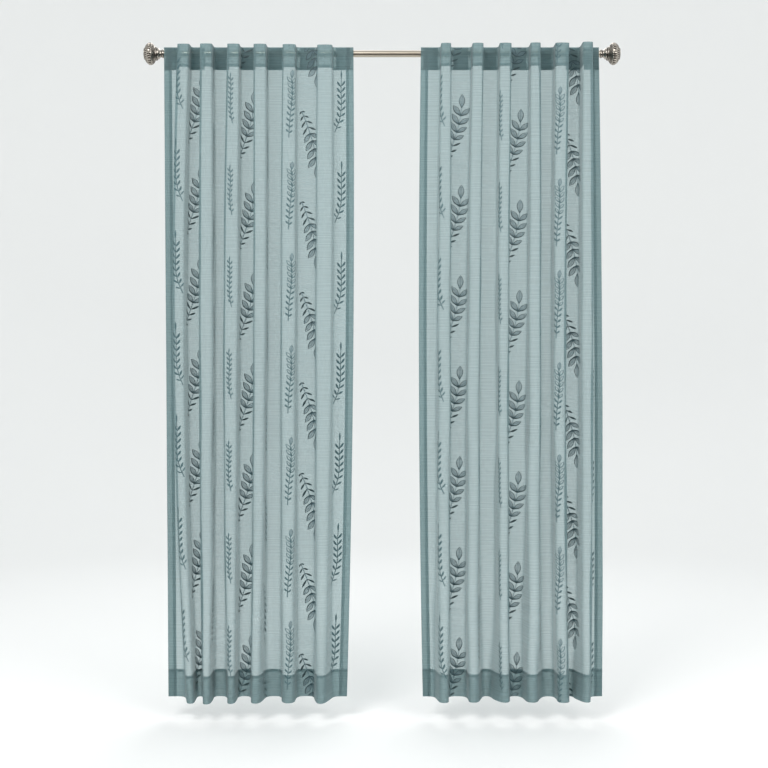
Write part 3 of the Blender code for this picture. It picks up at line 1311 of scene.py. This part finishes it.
@dataclass
class VoilePanel:
    """One length of voile with its heading, side hems and bottom hem turned to the back."""

    side: Side
    cloth: FoldedCloth
    heading: float = 0.075
    bottom_hem: float = 0.090
    side_hem: float = 0.025
    turn_under: float = 0.010
    fold_in: float = 0.006  # share of the hem's depth that its folded edge takes
    under_fold: tuple[float, float] = (0.01, 0.02)  # the same at the turn-under, before and after it
    # How many plies back the cloth lies: the folded edge, the ply behind it, and the turn-under.
    plies: tuple[float, ...] = (0, 0.5, 1, 1, 1, 1, 1, 1.6, 2, 2)
    other_threads: float = 0.37  # so that a turned ply's yarns aren't those of the one in front

    def turned(self, parts: MeshParts, edge: Edge, deep: float) -> None:
        """Add a turned edge: the fold itself, the ply behind it and its turn-under.

        Args:
            parts: The mesh that takes it.
            edge: Which edge is turned.
            deep: Depth of the hem.
        """
        across, far = edge.value
        before, after = self.under_fold
        back = self.turn_under / deep
        away = deep * np.array((0, 0, self.fold_in, 0.25, 0.5, 0.8, 1 - before, 1, 1 - after, 1 - back))
        plies = np.array(self.plies)
        if across:
            long = np.linspace(0, self.cloth.width, self.cloth.columns)[None, :]
            v = (DROP - away if far else away)[:, None]
            grid = self.cloth.place(long, v, -plies[:, None] * PLY)
            u, v = np.broadcast_arrays(long, v)
        else:
            long = np.linspace(0, DROP, self.cloth.rows)[:, None]
            u = (self.cloth.width - away if far else away)[None, :]
            grid = self.cloth.place(u, long, -plies[None, :] * PLY)
            u, v = np.broadcast_arrays(u, long)
        parts.add_grid(grid, np.stack([u + self.other_threads, -v], axis=-1))

    def build(self, finish: Material) -> Object:
        """Build the panel with all its hems.

        Args:
            finish: The voile.

        Returns:
            The panel as one piece, which stands for the CAD panel.
        """
        parts = MeshParts()
        u, v = np.meshgrid(
            np.linspace(0, self.cloth.width, self.cloth.columns), np.linspace(0, DROP, self.cloth.rows)
        )
        parts.add_grid(self.cloth.places, np.stack([u, v], axis=-1))
        self.turned(parts, Edge.TOP, self.heading)
        self.turned(parts, Edge.BOTTOM, self.bottom_hem)
        self.turned(parts, Edge.LEFT, self.side_hem)
        self.turned(parts, Edge.RIGHT, self.side_hem)
        name = f"{self.side.word}_voile_panel"
        return place_on_frame(parts.to_object(name, [finish]), "voile", f"{self.side.word}_panel")


@dataclass
class HemStitching:
    """Lockstitch rows that hold the heading and the hems, seen on both faces of the cloth."""

    side: Side
    cloth: FoldedCloth
    panel: VoilePanel
    pitch: float = 0.0036
    length: float = 0.0026
    half_width: float = 0.00028
    rise: float = 0.0003
    sunk: float = 0.0002
    off_cloth: float = 0.00005
    plies_behind: float = 2.1
    inset: float = 0.002
    first: float = 0.002  # from the cloth's edge to the first stitch
    last: float = 0.004

    def rows(self) -> list[tuple[Points, Points]]:
        """Lay out the two ends of each stitch.

        Returns:
            For each seam, the thread coordinates of the stitches' starts and ends.
        """
        width = self.cloth.width
        across = np.arange(self.first, width - self.last, self.pitch)
        down = np.arange(self.first, DROP - self.last, self.pitch)
        seams = []
        for v in (self.panel.heading - self.inset, DROP - self.panel.bottom_hem + self.inset):
            ends = [np.stack([across + step, np.full_like(across, v)], 1) for step in (0, self.length)]
            seams.append(tuple(ends))
        for u in (self.panel.side_hem - self.inset, width - self.panel.side_hem + self.inset):
            ends = [np.stack([np.full_like(down, u), down + step], 1) for step in (0, self.length)]
            seams.append(tuple(ends))
        return seams

    def build(self, finish: Material) -> Object:
        """Sew the rows.

        Args:
            finish: The sewing thread.

        Returns:
            The stitches as one piece.
        """
        parts = MeshParts()
        # Each stitch is a lozenge of four corners with a point above (4) and a point below (5).
        sides = ((0, 1), (1, 2), (2, 3), (3, 0))
        pattern = [(a, b, 4) for a, b in sides] + [(b, a, 5) for a, b in sides]
        for start, end in self.rows():
            middle = (start + end) / 2
            along = (end - start) / np.linalg.norm(end - start, axis=1, keepdims=True)
            aside = np.stack([-along[:, 1], along[:, 0]], 1) * self.half_width
            behind = -self.plies_behind * PLY
            for base, top in ((self.off_cloth, self.rise), (behind, behind - self.rise)):
                low = base - math.copysign(self.sunk, top)
                corners = np.stack(
                    [
                        self.cloth.place(spot[:, 0], spot[:, 1], lift)
                        for spot, lift in (
                            (start, base),
                            (middle + aside, base),
                            (end, base),
                            (middle - aside, base),
                            (middle, top),
                            (middle, low),
                        )
                    ],
                    axis=1,
                )
                faces = np.array(pattern)[None] + corners.shape[1] * np.arange(len(start))[:, None, None]
                threads = np.repeat(middle, corners.shape[1], axis=0)
                parts.add(corners.reshape(-1, 3), faces.reshape(-1, 3), threads)
        piece = parts.to_object(f"{self.side.word}_hem_stitching", [finish], smooth=False)
        return place_on_frame(piece, "embroidery_thread")


@dataclass
class BackTabs:
    """Seven tabs of doubled voile, sewn behind the flats of the heading and round the rod."""

    side: Side
    cloth: FoldedCloth
    width: float = 0.048
    thickness: float = 0.0011
    rod_radius: float = 0.011
    clear: float = 0.0006
    top: float = 0.0165
    low: float = -0.004
    seam_top: float = -0.046
    seam_bottom: float = -0.0555
    behind_cloth: float = 0.0022  # from the panel's own cloth, past its turned heading
    end_clear: float = 0.0005
    shoulder: tuple[float, float] = (0.0004, 0.0012)  # the corner over the top seam, back and up
    shoulder_bend: float = 0.001
    lower_bend: float = 0.006
    stations: int = 64
    length: float = 0.11
    creep: float = 0.0012
    creep_turn: tuple[float, float] = (2.4, 0.7)  # radians from tab to tab, and at the first
    thread_step: float = 0.05  # so that no two tabs show the same yarns

    def middles(self) -> list[float]:
        """Find the tabs' places along the rod: the middle of each flat, kept inside the panel.

        Returns:
            The middle of each tab.
        """
        left, right = self.cloth.left_edge.head * MM, self.cloth.right_edge.head * MM
        starts = [left, *(fold.right.head * MM for fold in self.cloth.folds)]
        ends = [*(fold.left.head * MM for fold in self.cloth.folds), right]
        room = self.width / 2 + self.end_clear
        return [
            min(max((start + end) / 2, left + room), right - room) for start, end in zip(starts, ends)
        ]

    def path(self) -> Points:
        """Lay out a tab as seen along the rod.

        Returns:
            Points (y, z) from its top seam, over and behind the rod, to its lower seam.
        """
        sewn = CLOTH_PLANE + self.behind_cloth
        wrap = self.rod_radius + self.clear + self.thickness / 2
        corners = [
            (np.array((sewn, self.top)), 0.0),
            (np.array((sewn + self.shoulder[0], wrap + self.shoulder[1])), self.shoulder_bend),
            (np.array((wrap, wrap)), wrap),
            (np.array((wrap, self.low)), self.lower_bend),
            (np.array((sewn, self.seam_top)), self.lower_bend),
            (np.array((sewn, self.seam_bottom)), 0.0),
        ]
        line, _ = rounded(corners, steps=12)
        run = np.concatenate([[0], np.cumsum(np.linalg.norm(np.diff(line, axis=0), axis=1))])
        even = np.linspace(0, run[-1], self.stations)
        return np.stack([np.interp(even, run, line[:, axis]) for axis in (0, 1)], axis=1)

    def build(self, finish: Material) -> Object:
        """Build all seven tabs of the panel.

        Args:
            finish: The voile.

        Returns:
            The tabs as one piece, which stands for the seven CAD tabs.
        """
        parts = MeshParts()
        line = self.path()
        direction = np.gradient(line, axis=0)
        direction /= np.linalg.norm(direction, axis=1, keepdims=True)
        out = np.stack([-direction[:, 1], direction[:, 0]], axis=1)
        half = self.thickness / 2
        across = np.linspace(-1, 1, 9)
        plump = half * np.sqrt(np.clip(1 - across**4, 0, 1))
        ring_x = np.concatenate([across, across[::-1][1:-1]]) * self.width / 2
        ring_out = np.concatenate([plump, -plump[::-1][1:-1]])
        run = np.linspace(0, self.length, len(line))
        middles = self.middles()
        for number, middle in enumerate(middles):
            # Each tab creeps a little along the rod behind it, so that no two are quite alike.
            aside = math.sin(self.creep_turn[0] * number + self.creep_turn[1])
            creep = self.creep * aside * np.sin(math.pi * run / run[-1])
            grid = np.empty((len(line), len(ring_x), 3))
            grid[:, :, 0] = middle + ring_x[None, :] + creep[:, None]
            grid[:, :, 1] = line[:, :1] + out[:, :1] * ring_out[None, :]
            grid[:, :, 2] = line[:, 1:] + out[:, 1:] * ring_out[None, :]
            yarns = ring_x[None, :] + self.thread_step * number
            threads = np.stack(np.broadcast_arrays(yarns, run[:, None]), axis=-1)
            parts.add_grid(grid, threads, ring=True)
        piece = parts.to_object(f"{self.side.word}_back_tabs", [finish])
        nodes = [f"{self.side.word}_tab_{number}" for number in range(1, len(middles) + 1)]
        return place_on_frame(piece, "voile", *nodes)


# ---------------------------------------------------------------- rod and finials


@dataclass(frozen=True)
class CurtainRod:
    """The round rod, whose CAD node is kept and given its finish."""

    node: str = "rod"

    def dress(self, finish: Material) -> None:
        """Give the CAD rod its metal.

        Args:
            finish: The plated tube.
        """
        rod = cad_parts[self.node]
        for place in rod.material_slots:
            place.material = finish
        LOG.info("%s: dressed", rod.name)


@dataclass
class FlutedFinial:
    """Cast finial: flange, waisted neck, stepped collar, fluted oblate ball and end cap.

    Sizes are in mm, out from the rod's end.
    """

    side: Side
    gap: float = 0.3
    rod_half_length: float = 718.5
    neck: tuple[tuple[float, float], ...] = (
        (0.0, 0.0), (0.0, 13.4), (0.5, 14.3), (1.6, 14.5), (3.6, 14.4), (4.4, 13.8), (5.2, 12.7),
        (6.5, 12.0), (8.5, 11.7), (10.5, 12.0), (12.5, 13.1), (14.3, 14.9), (15.6, 16.7), (16.6, 18.0),
        (17.4, 18.5), (20.8, 18.5), (21.8, 18.3), (22.4, 18.9), (22.7, 21.4), (23.2, 22.3), (26.4, 22.5),
        (27.4, 22.3), (27.9, 21.8),
    )
    cap: tuple[tuple[float, float], ...] = (
        (61.3, 20.5), (61.4, 18.6), (61.9, 18.0), (62.3, 18.8), (62.6, 19.6), (63.0, 20.0), (64.2, 19.8),
        (64.9, 18.6), (65.2, 16.5), (65.3, 9.0), (65.3, 0.0),
    )
    ball_centre: float = 45.0
    ball_radius: float = 36.5
    ball_half_width: float = 21.0
    ball_from_deg: float = 142
    ball_to_deg: float = 40
    ball_stations: int = 84
    lobes: int = 28
    lobe_zone: tuple[float, float] = (51.4, 61.0)
    lobe_depth: float = 2.2
    slot_zone: tuple[float, float] = (38.6, 50.2)
    slot_width: float = 3.0
    slot_depth: float = 2.0
    bead_zone: tuple[float, float] = (28.8, 37.6)
    bead_rows: int = 3
    beads: int = 40
    bead_depth: float = 0.9
    sides: int = 360
    lobe_ramp: float = 3.0  # how gently each zone starts and ends
    slot_ramp: float = 1.6
    bead_ramp: float = 0.8
    lobe_roundness: float = 0.8
    bead_roundness: float = 0.7
    lobe_dark: float = 0.95  # how dark the wax lies in the deepest of each zone
    lobe_wax_spread: float = 0.8
    slot_dark: float = 1.15
    bead_dark: tuple[float, float] = (0.22, 0.6)  # all over the beads, and more between them
    ball_wax: tuple[float, float] = (28.0, 61.2)  # where the carving says how dark it is
    # The wax on the turned steps: distance along, and how dark.
    step_wax: tuple[tuple[float, float], ...] = (
        (0, 0.1), (3.6, 0.2), (5.0, 0.8), (9.0, 0.3), (14, 0.1), (20.5, 0.2), (22.2, 1.0), (23.4, 0.1),
        (27.8, 0.7), (61.2, 0.6), (61.9, 1.0), (63.0, 0.1), (66, 0.1),
    )

    def profile(self) -> tuple[Points, Points]:
        """Lay out the turned profile without its flutes.

        Returns:
            Distance along and radius of each station.
        """
        angle = np.radians(np.linspace(self.ball_from_deg, self.ball_to_deg, self.ball_stations))
        along = self.ball_centre + self.ball_half_width * np.cos(angle)
        radius = self.ball_radius * np.sin(angle)
        neck, cap = np.array(self.neck), np.array(self.cap)
        ball = np.stack([along, radius], axis=1)
        stations = np.concatenate([neck, ball, cap])
        return stations[:, 0], stations[:, 1]

    def carving(self, along: Points, turn: Points) -> tuple[Points, Points]:
        """Find how deep the cast pattern is: lobes outside, slots in the middle, beads within.

        Args:
            along: Distance of each station from the rod's end.
            turn: Angle of each side, in radians.

        Returns:
            The depth in mm, and how dark the antiquing lies there from 0 to 1, stations by sides.
        """
        across = turn[None, :]

        def zone(start: float, end: float, ramp: float) -> Points:
            """Rise to 1 inside a band of stations and fall to 0 past it."""
            inside = smooth_step(along, start, start + ramp) * (1 - smooth_step(along, end - ramp, end))
            return inside[:, None]

        round_lobe = np.abs(np.cos(across * self.lobes / 2)) ** self.lobe_roundness
        lobes = zone(*self.lobe_zone, self.lobe_ramp) * (1 - round_lobe)
        from_slot = (across / (2 * math.pi) * self.lobes + 0.5) % 1.0 - 0.5
        arc = from_slot * 2 * math.pi * self.ball_radius / self.lobes
        slots = zone(*self.slot_zone, self.slot_ramp) * np.exp(-((arc / (self.slot_width / 2)) ** 4))
        row_run = (along - self.bead_zone[0]) / (self.bead_zone[1] - self.bead_zone[0]) * self.bead_rows
        row = np.floor(row_run)[:, None]
        swell = np.abs(np.sin(math.pi * row_run))[:, None]
        round_bead = swell * np.abs(np.cos(across * self.beads / 2 + row * math.pi / 2))
        bead_band = zone(*self.bead_zone, self.bead_ramp)
        beads = bead_band * (1 - round_bead**self.bead_roundness)
        depth = self.lobe_depth * lobes + self.slot_depth * slots + self.bead_depth * beads
        dark = self.lobe_dark * lobes**self.lobe_wax_spread + self.slot_dark * slots
        dark = dark + bead_band * (self.bead_dark[0] + self.bead_dark[1] * beads)
        return depth, np.clip(dark, 0, 1)

    def build(self, finish: Material) -> Object:
        """Cast the finial.

        Args:
            finish: The antiqued metal.

        Returns:
            The finial, which stands for its CAD node.
        """
        along, radius = self.profile()
        turn = np.linspace(0, 2 * math.pi, self.sides, endpoint=False)
        carved, dark = self.carving(along, turn)
        fluted = np.maximum(radius[:, None] - carved, 0.0)
        out = self.side.value
        grid = np.empty((len(along), self.sides, 3))
        grid[:, :, 0] = out * (self.rod_half_length + self.gap + along)[:, None]
        grid[:, :, 1] = fluted * np.cos(turn)[None, :]
        grid[:, :, 2] = fluted * np.sin(turn)[None, :]
        parts = MeshParts()
        # The right finial mirrors the left one, so its sides run the other way round.
        parts.add_grid((grid if out < 0 else grid[:, ::-1]) * MM, ring=True)
        name = f"{self.side.word}_fluted_finial"
        piece = parts.to_object(name, [finish])
        steps = np.interp(along, *zip(*self.step_wax))
        on_ball = (along > self.ball_wax[0]) & (along < self.ball_wax[1])
        recess = np.where(on_ball[:, None], dark, steps[:, None])
        shown = recess if out < 0 else recess[:, ::-1]
        attribute = piece.data.attributes.new("recess", "FLOAT", "POINT")
        attribute.data.foreach_set("value", shown.astype(np.float32).ravel())
        return place_on_frame(piece, "finial_metal", f"finial_{self.side.word}")


# ---------------------------------------------------------------- studio


@dataclass(frozen=True)
class SoftLight:
    """One soft light: where it hangs, where it points, its width and height and its power."""

    name: str
    place: tuple[float, float, float]
    target: tuple[float, float, float]
    width: float
    height: float
    watts: float

    def hang(self) -> None:
        """Put the light in the scene, out of the camera's sight."""
        data = bpy.data.lights.new(self.name, "AREA")
        data.shape = "RECTANGLE"
        data.size = self.width
        data.size_y = self.height
        data.energy = self.watts
        lamp = bpy.data.objects.new(self.name, data)
        lamp.location = self.place
        lamp.rotation_euler = (Vector(self.target) - Vector(self.place)).to_track_quat("-Z", "Y").to_euler()
        lamp.visible_camera = False
        bpy.context.scene.collection.objects.link(lamp)


@dataclass(frozen=True)
class BlackVelvet:
    """Black cotton velvet on a card: next to no light comes back from its pile."""

    colour: str = "#2B2420"

    def material(self) -> Material:
        """Build the velvet.

        Returns:
            A dark matt material.
        """
        made, tree = blank_material("black_velvet_card")
        pile = add_node(
            tree, "ShaderNodeBsdfDiffuse", {"Color": linear(self.colour), "Roughness": 1.0}
        ).outputs[0]
        add_node(tree, "ShaderNodeOutputMaterial", {"Surface": pile})
        return made


@dataclass
class Studio:
    """A round seamless cove of pale paper, soft lights and the camera."""

    floor: float = -2.19
    radius: float = 7.0
    cove: float = 2.6
    wall_top: float = 4.2
    floor_rings: tuple[float, ...] = (0.0, 1.0, 2.5)
    sides: int = 96
    ambient: str = "#F2F6F8"
    ambient_strength: float = 0.85
    camera_place: tuple[float, float, float] = (0.0066, -4.413, -1.089)
    lens_mm: float = 62.72
    lights: tuple[SoftLight, ...] = (
        SoftLight("key", (-1.6, -3.8, 1.9), (0.0, 0.0, -0.9), 1.8, 1.4, 110),
        SoftLight("fill", (2.4, -3.8, 0.4), (0.0, 0.0, -1.1), 2.2, 2.2, 60),
        SoftLight("behind", (0.5, 3.0, 2.2), (0.0, 0.2, -1.0), 2.4, 2.4, 50),
    )
    # The card's section, as (y, z) from far in front to near and low.
    flag: tuple[tuple[float, float], ...] = ((-5.6, 0.1), (-4.9, -1.0), (-3.4, -1.8), (-1.4, -2.12))
    flag_half_width: float = 4.0

    def hang_flag(self) -> None:
        """Hang a dark card low in front, seen only in the metal, to draw the dark half of the rod."""
        line = np.array(self.flag)
        grid = np.empty((len(line), 2, 3))
        grid[:, :, 0] = (-self.flag_half_width, self.flag_half_width)
        grid[:, :, 1] = line[:, :1]
        grid[:, :, 2] = line[:, 1:]
        parts = MeshParts()
        parts.add_grid(grid)
        card = parts.to_object("studio_flag", [BlackVelvet().material()])
        card.visible_camera = False
        card.visible_diffuse = False
        card.visible_shadow = False
        card.visible_transmission = False

    def build(self, finish: Material) -> None:
        """Build the cove, hang the lights and set the camera.

        Args:
            finish: The paper.
        """
        bend = np.radians(np.linspace(0, 90, 25))
        curve_out = self.radius - self.cove + self.cove * np.sin(bend)
        curve_up = self.cove * (1 - np.cos(bend))
        out = np.concatenate([self.floor_rings, curve_out, [self.radius]])
        high = np.concatenate([np.zeros(len(self.floor_rings)), curve_up, [self.wall_top - self.floor]])
        turn = np.linspace(0, 2 * math.pi, self.sides, endpoint=False)
        grid = np.empty((len(out), len(turn), 3))
        grid[:, :, 0] = out[:, None] * np.cos(turn)[None, :]
        grid[:, :, 1] = out[:, None] * np.sin(turn)[None, :]
        grid[:, :, 2] = self.floor + high[:, None]
        parts = MeshParts()
        parts.add_grid(grid, ring=True)
        parts.to_object("studio_cove", [finish])
        self.hang_flag()
        for light in self.lights:
            light.hang()
        world = bpy.data.worlds.new("studio_air")
        world.use_nodes = True
        world.node_tree.nodes.clear()
        air = add_node(
            world.node_tree,
            "ShaderNodeBackground",
            {"Color": linear(self.ambient), "Strength": self.ambient_strength},
        ).outputs[0]
        add_node(world.node_tree, "ShaderNodeOutputWorld", {"Surface": air})
        scene = bpy.context.scene
        scene.world = world
        scene.view_settings.view_transform = "Standard"
        lens = bpy.data.cameras.new("camera")
        lens.lens = self.lens_mm
        camera = bpy.data.objects.new("camera", lens)
        camera.location = self.camera_place
        camera.rotation_euler = (math.pi / 2, 0, 0)
        scene.collection.objects.link(camera)
        scene.camera = camera


# ---------------------------------------------------------------- the pair of curtains


def left_cloth() -> FoldedCloth:
    """Give the left panel its folds and creases.

    Returns:
        The hanging cloth.
    """
    return FoldedCloth(
        mid_fraction=0.59,
        left_edge=Across(-717, -708, -702),
        right_edge=Across(-94, -97, -115),
        left_margin_mm=20,
        right_margin_mm=31,
        droop_mm=6,
        folds=(
            Fold(Across(-664, -672, -630), Across(-625, -636, -606), 16, 0),
            Fold(Across(-590, -592, -580), Across(-551, -549, -554), 6, 4),
            Fold(Across(-502, -514, -499), Across(-463, -469, -476), 10, 6),
            Fold(Across(-417, -419, -425), Across(-376, -380, -396), 4, 18),
            Fold(Across(-323, -329, -323), Across(-281, -281, -286), 8, 10),
            Fold(Across(-211, -216, -213), Across(-162, -166, -186), 10, 28),
        ),
        creases=(
            Crease(34, 300, 2134, 9, 2.5),
            Crease(232, 500, 1900, 12, -2.0, 10),
            Crease(431, 900, 2134, 13, 2.4, -14),
            Crease(640, 250, 1500, 14, -2.2, 8),
            Crease(838, 1100, 2134, 12, 2.6, 12),
            Crease(1036, 200, 1300, 14, 2.0, -10),
            Crease(1225, 700, 2134, 14, -2.4, 8),
        ),
        ripple_seed=11,
    )


def right_cloth() -> FoldedCloth:
    """Give the right panel its folds and creases.

    Returns:
        The hanging cloth.
    """
    return FoldedCloth(
        mid_fraction=0.40,
        left_edge=Across(128, 121, 134),
        right_edge=Across(713, 723, 724),
        left_margin_mm=33,
        right_margin_mm=18,
        droop_mm=1,
        folds=(
            Fold(Across(192, 182, 186), Across(225, 223, 216), 16, 4),
            Fold(Across(294, 280, 280), Across(330, 320, 311), 4, 22),
            Fold(Across(382, 377, 384), Across(421, 413, 412), 32, 6),
            Fold(Across(482, 477, 472), Across(515, 517, 503), 20, 26),
            Fold(Across(563, 557, 567), Across(608, 598, 606), 2, 2),
            Fold(Across(650, 647, 650), Across(683, 686, 676), 26, 4),
        ),
        creases=(
            Crease(40, 800, 2134, 12, 2.4, 8),
            Crease(244, 300, 1500, 14, -2.0, -8),
            Crease(446, 1000, 2134, 14, 2.6, 10),
            Crease(650, 400, 1700, 13, 2.0, -12),
            Crease(852, 900, 2134, 12, -2.4, 6),
            Crease(1052, 250, 1600, 12, 2.2, 10),
            Crease(1240, 500, 2134, 9, 2.2),
        ),
        ripple_seed=23,
    )


RIGHT_MOTIFS_LOWER_MM = 59  # the right panel was cut from the cloth a little further along
MOTIF_COLUMNS = (
    MotifColumn(Motif.SPRIG, 118, 110),
    MotifColumn(Motif.FROND, 216, 206),
    MotifColumn(Motif.FERN, 376, 62),
    MotifColumn(Motif.TWIG, 525, 177),
    MotifColumn(Motif.FROND, 624, 254),
    MotifColumn(Motif.SPRIG, 785, 66, Turn.HALF_TURN),
    MotifColumn(Motif.FERN, 937, 196),
    MotifColumn(Motif.FROND, 1045, 24, Turn.FLIPPED),
    MotifColumn(Motif.SPRIG, 1222, 178, Turn.MIRRORED),
)


@dataclass(frozen=True)
class ClothFinishes:
    """The materials of a panel and of what is sewn to it."""

    voile: Material
    floss: tuple[Material, ...]  # in the order of the Tone numbers
    sewing_thread: Material


def dress_side(side: Side, cloth: FoldedCloth, shift_mm: float, finishes: ClothFinishes) -> None:
    """Build one panel with everything that is sewn to it.

    Args:
        side: Which panel.
        cloth: Its hanging cloth.
        shift_mm: How far its embroidery sits below the other panel's.
        finishes: Its materials.
    """
    sheet = VoilePanel(side, cloth)
    panel = sheet.build(finishes.voile)
    sewn = [
        Embroidery(side, cloth, MOTIF_COLUMNS, shift_mm).build(MotifDrawer(), finishes.floss),
        HemStitching(side, cloth, sheet).build(finishes.sewing_thread),
        BackTabs(side, cloth).build(finishes.voile),
    ]


def main() -> None:
    """Build the curtains in order: camera and studio, cloth, tabs, rod and finials."""
    logging.basicConfig(level=logging.INFO, format="%(message)s")
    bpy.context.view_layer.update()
    Studio().build(StudioPaper().material())
    finishes = ClothFinishes(
        voile=SlubVoile().material(),
        floss=(
            EmbroideryFloss("rayon_floss_dark", "#29474B", "#172E31").material(),
            EmbroideryFloss("rayon_floss_mid", "#557078", "#3E575F").material(),
            EmbroideryFloss("rayon_floss_soft", "#3C5C61", "#29474C").material(),
        ),
        sewing_thread=EmbroideryFloss("polyester_sewing_thread", "#728C92", "#5A747A").material(),
    )
    dress_side(Side.LEFT, left_cloth(), 0, finishes)
    dress_side(Side.RIGHT, right_cloth(), RIGHT_MOTIFS_LOWER_MM, finishes)
    CurtainRod().dress(DrawnNickelTube().material())
    antiqued = AntiquedNickelCasting().material()
    for side in Side:
        FlutedFinial(side).build(antiqued)


if __name__ == "__main__":
    main()
